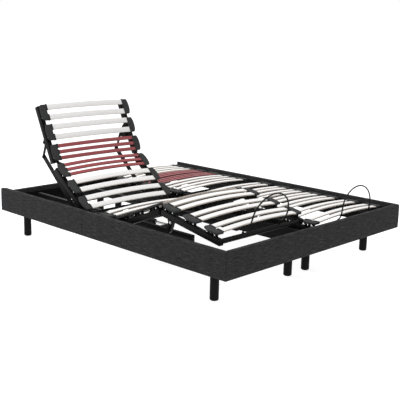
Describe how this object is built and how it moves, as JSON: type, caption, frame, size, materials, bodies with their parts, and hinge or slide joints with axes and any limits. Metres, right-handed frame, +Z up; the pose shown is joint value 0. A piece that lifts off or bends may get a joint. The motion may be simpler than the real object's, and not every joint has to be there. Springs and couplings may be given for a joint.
{
  "type": "adjustable bed base",
  "caption": "Twin adjustable slatted bed base in a fabric surround, with hinged back, head, thigh and calf sections on steel rails, lift motors and round legs.",
  "frame": {"origin": "on the floor under the middle of the surround", "axes": "+Y towards the head end, +Z up, +X to the right as seen from the foot; the raised base is on the -X side"},
  "size_m": [1.66, 2.06, 0.9164],
  "materials": {
    "fabric": "charcoal woven upholstery",
    "divider": "black board",
    "steel": "black satin powder coat",
    "slats": "white laminated beech, satin",
    "red_slats": "crimson laminated beech, satin",
    "holder": "dark grey moulded, fine ribs",
    "motor": "matt black",
    "bright_steel": "ground rod and zinc bolts",
    "leg": "matt black lacquer"
  },
  "bodies": {
    "root": {"left_side_panel": "fabric", "right_side_panel": "fabric", "foot_panel": "fabric", "head_panel": "fabric", "centre_divider": "divider", "left_chassis": "steel", "left_foot_bar": "steel", "left_head_bar": "steel", "left_seat_slats": "slats", "left_head_leg_outer": "leg", "left_head_leg_inner": "leg", "left_foot_leg_outer": "leg", "left_foot_leg_inner": "leg", "right_chassis": "steel", "right_foot_bar": "steel", "right_head_bar": "steel", "right_seat_slats": "slats", "right_head_leg_outer": "leg", "right_head_leg_inner": "leg", "right_foot_leg_outer": "leg", "right_foot_leg_inner": "leg"},
    "left_back": {"left_back_frame": "steel", "left_back_slats": "slats", "left_back_red_slats": "red_slats"},
    "left_head": {"left_head_rail_a": "steel", "left_head_rail_b": "steel", "left_head_slats": "slats", "left_head_red_slats": "red_slats"},
    "left_levers": {"left_head_levers": "steel"},
    "left_struts": {"left_head_strut_a": "steel", "left_head_strut_b": "steel"},
    "left_thigh": {"left_thigh_frame": "steel", "left_thigh_slats": "slats"},
    "left_calf": {"left_calf_frame": "steel", "left_calf_slats": "slats", "left_mattress_hoop": "steel"},
    "left_back_motor_housing": {"left_back_motor": "motor"},
    "left_back_motor_shaft": {"left_back_motor_rod": "bright_steel"},
    "left_leg_motor_housing": {"left_leg_motor": "motor"},
    "left_leg_motor_shaft": {"left_leg_motor_rod": "bright_steel"},
    "right_back": {"right_back_frame": "steel", "right_back_slats": "slats", "right_back_red_slats": "red_slats"},
    "right_head": {"right_head_rail_a": "steel", "right_head_rail_b": "steel", "right_head_slats": "slats", "right_head_red_slats": "red_slats"},
    "right_levers": {"right_head_levers": "steel"},
    "right_struts": {"right_head_strut_a": "steel", "right_head_strut_b": "steel"},
    "right_thigh": {"right_thigh_frame": "steel", "right_thigh_slats": "slats"},
    "right_calf": {"right_calf_frame": "steel", "right_calf_slats": "slats", "right_mattress_hoop": "steel"},
    "right_back_motor_housing": {"right_back_motor": "motor"},
    "right_back_motor_shaft": {"right_back_motor_rod": "bright_steel"},
    "right_leg_motor_housing": {"right_leg_motor": "motor"},
    "right_leg_motor_shaft": {"right_leg_motor_rod": "bright_steel"}
  },
  "joints": [
    {"name": "left_back_tilt", "type": "hinge", "parent": "root", "child": "left_back", "pos_m": [-0.4, 0.192, 0.288], "axis": [1, 0, 0], "range_deg": [-39, 15]},
    {"name": "left_head_tilt", "type": "hinge", "parent": "left_back", "child": "left_head", "pos_m": [-0.4, 0.50985, 0.54539], "axis": [1, 0, 0], "range_deg": [-25.79, 9.95]},
    {"name": "left_lever_swing", "type": "hinge", "parent": "root", "child": "left_levers", "pos_m": [-0.4, 0.3086, 0.2086], "axis": [1, 0, 0], "range_deg": [-42.95, 16.55]},
    {"name": "left_strut_swing", "type": "hinge", "parent": "left_head", "child": "left_struts", "pos_m": [-0.4, 0.66592, 0.66525], "axis": [1, 0, 0], "range_deg": [-52.25, 135.77]},
    {"name": "left_thigh_tilt", "type": "hinge", "parent": "root", "child": "left_thigh", "pos_m": [-0.4, -0.082, 0.288], "axis": [-1, 0, 0], "range_deg": [-22.6, 7.4]},
    {"name": "left_knee_bend", "type": "hinge", "parent": "left_thigh", "child": "left_calf", "pos_m": [-0.4, -0.45867, 0.44479], "axis": [1, 0, 0], "range_deg": [-33.16, 10.89]},
    {"name": "left_back_motor_swing", "type": "hinge", "parent": "root", "child": "left_back_motor_housing", "pos_m": [-0.474, -0.25, 0.193], "axis": [1, 0, 0], "range_deg": [-3.17, 1.25]},
    {"name": "left_back_motor_stroke", "type": "slide", "parent": "left_back_motor_housing", "child": "left_back_motor_shaft", "axis": [0, 0.9993, 0.0374], "range_m": [-0.0602, 0.02334]},
    {"name": "left_leg_motor_swing", "type": "hinge", "parent": "root", "child": "left_leg_motor_housing", "pos_m": [-0.326, 0.27, 0.193], "axis": [-1, 0, 0], "range_deg": [-1.5, 0.52]},
    {"name": "left_leg_motor_stroke", "type": "slide", "parent": "left_leg_motor_housing", "child": "left_leg_motor_shaft", "axis": [0, -0.9999, 0.0116], "range_m": [-0.03757, 0.01251]},
    {"name": "right_back_tilt", "type": "hinge", "parent": "root", "child": "right_back", "pos_m": [0.4, 0.192, 0.288], "axis": [1, 0, 0], "range_deg": [0, 54]},
    {"name": "right_head_tilt", "type": "hinge", "parent": "right_back", "child": "right_head", "pos_m": [0.4, 0.601, 0.288], "axis": [1, 0, 0], "range_deg": [0, 35.69]},
    {"name": "right_lever_swing", "type": "hinge", "parent": "root", "child": "right_levers", "pos_m": [0.4, 0.3086, 0.2086], "axis": [1, 0, 0], "range_deg": [0, 59.45]},
    {"name": "right_strut_swing", "type": "hinge", "parent": "right_head", "child": "right_struts", "pos_m": [0.4, 0.776, 0.198], "axis": [1, 0, 0], "range_deg": [-187.97, 0]},
    {"name": "right_thigh_tilt", "type": "hinge", "parent": "root", "child": "right_thigh", "pos_m": [0.4, -0.082, 0.288], "axis": [-1, 0, 0], "range_deg": [0, 30]},
    {"name": "right_knee_bend", "type": "hinge", "parent": "right_thigh", "child": "right_calf", "pos_m": [0.4, -0.49, 0.288], "axis": [1, 0, 0], "range_deg": [0, 44]},
    {"name": "right_back_motor_swing", "type": "hinge", "parent": "root", "child": "right_back_motor_housing", "pos_m": [0.326, -0.25, 0.193], "axis": [1, 0, 0], "range_deg": [0, 4.37]},
    {"name": "right_back_motor_stroke", "type": "slide", "parent": "right_back_motor_housing", "child": "right_back_motor_shaft", "axis": [0, 1, -0.0068], "range_m": [0, 0.08088]},
    {"name": "right_leg_motor_swing", "type": "hinge", "parent": "root", "child": "right_leg_motor_housing", "pos_m": [0.474, 0.27, 0.193], "axis": [-1, 0, 0], "range_deg": [0, 1.97]},
    {"name": "right_leg_motor_stroke", "type": "slide", "parent": "right_leg_motor_housing", "child": "right_leg_motor_shaft", "axis": [0, -1, -0.0085], "range_m": [0, 0.04978]}
  ],
  "couplings": [
    {"joint": "left_head_tilt", "follows": "left_back_tilt", "ratio": 0.66},
    {"joint": "left_lever_swing", "follows": "left_back_tilt", "ratio": 1.1},
    {"joint": "left_strut_swing", "follows": "left_back_tilt", "ratio": -3.48},
    {"joint": "left_back_motor_swing", "follows": "left_back_tilt", "ratio": 0.08},
    {"joint": "left_back_motor_stroke", "follows": "left_back_tilt", "m_per_rad": 0.088},
    {"joint": "left_knee_bend", "follows": "left_thigh_tilt", "ratio": 1.465},
    {"joint": "left_leg_motor_swing", "follows": "left_thigh_tilt", "ratio": 0.064},
    {"joint": "left_leg_motor_stroke", "follows": "left_thigh_tilt", "m_per_rad": 0.0945},
    {"joint": "right_head_tilt", "follows": "right_back_tilt", "ratio": 0.66},
    {"joint": "right_lever_swing", "follows": "right_back_tilt", "ratio": 1.1},
    {"joint": "right_strut_swing", "follows": "right_back_tilt", "ratio": -3.48},
    {"joint": "right_back_motor_swing", "follows": "right_back_tilt", "ratio": 0.08},
    {"joint": "right_back_motor_stroke", "follows": "right_back_tilt", "m_per_rad": 0.0855},
    {"joint": "right_knee_bend", "follows": "right_thigh_tilt", "ratio": 1.465},
    {"joint": "right_leg_motor_swing", "follows": "right_thigh_tilt", "ratio": 0.064},
    {"joint": "right_leg_motor_stroke", "follows": "right_thigh_tilt", "m_per_rad": 0.0945}
  ]
}
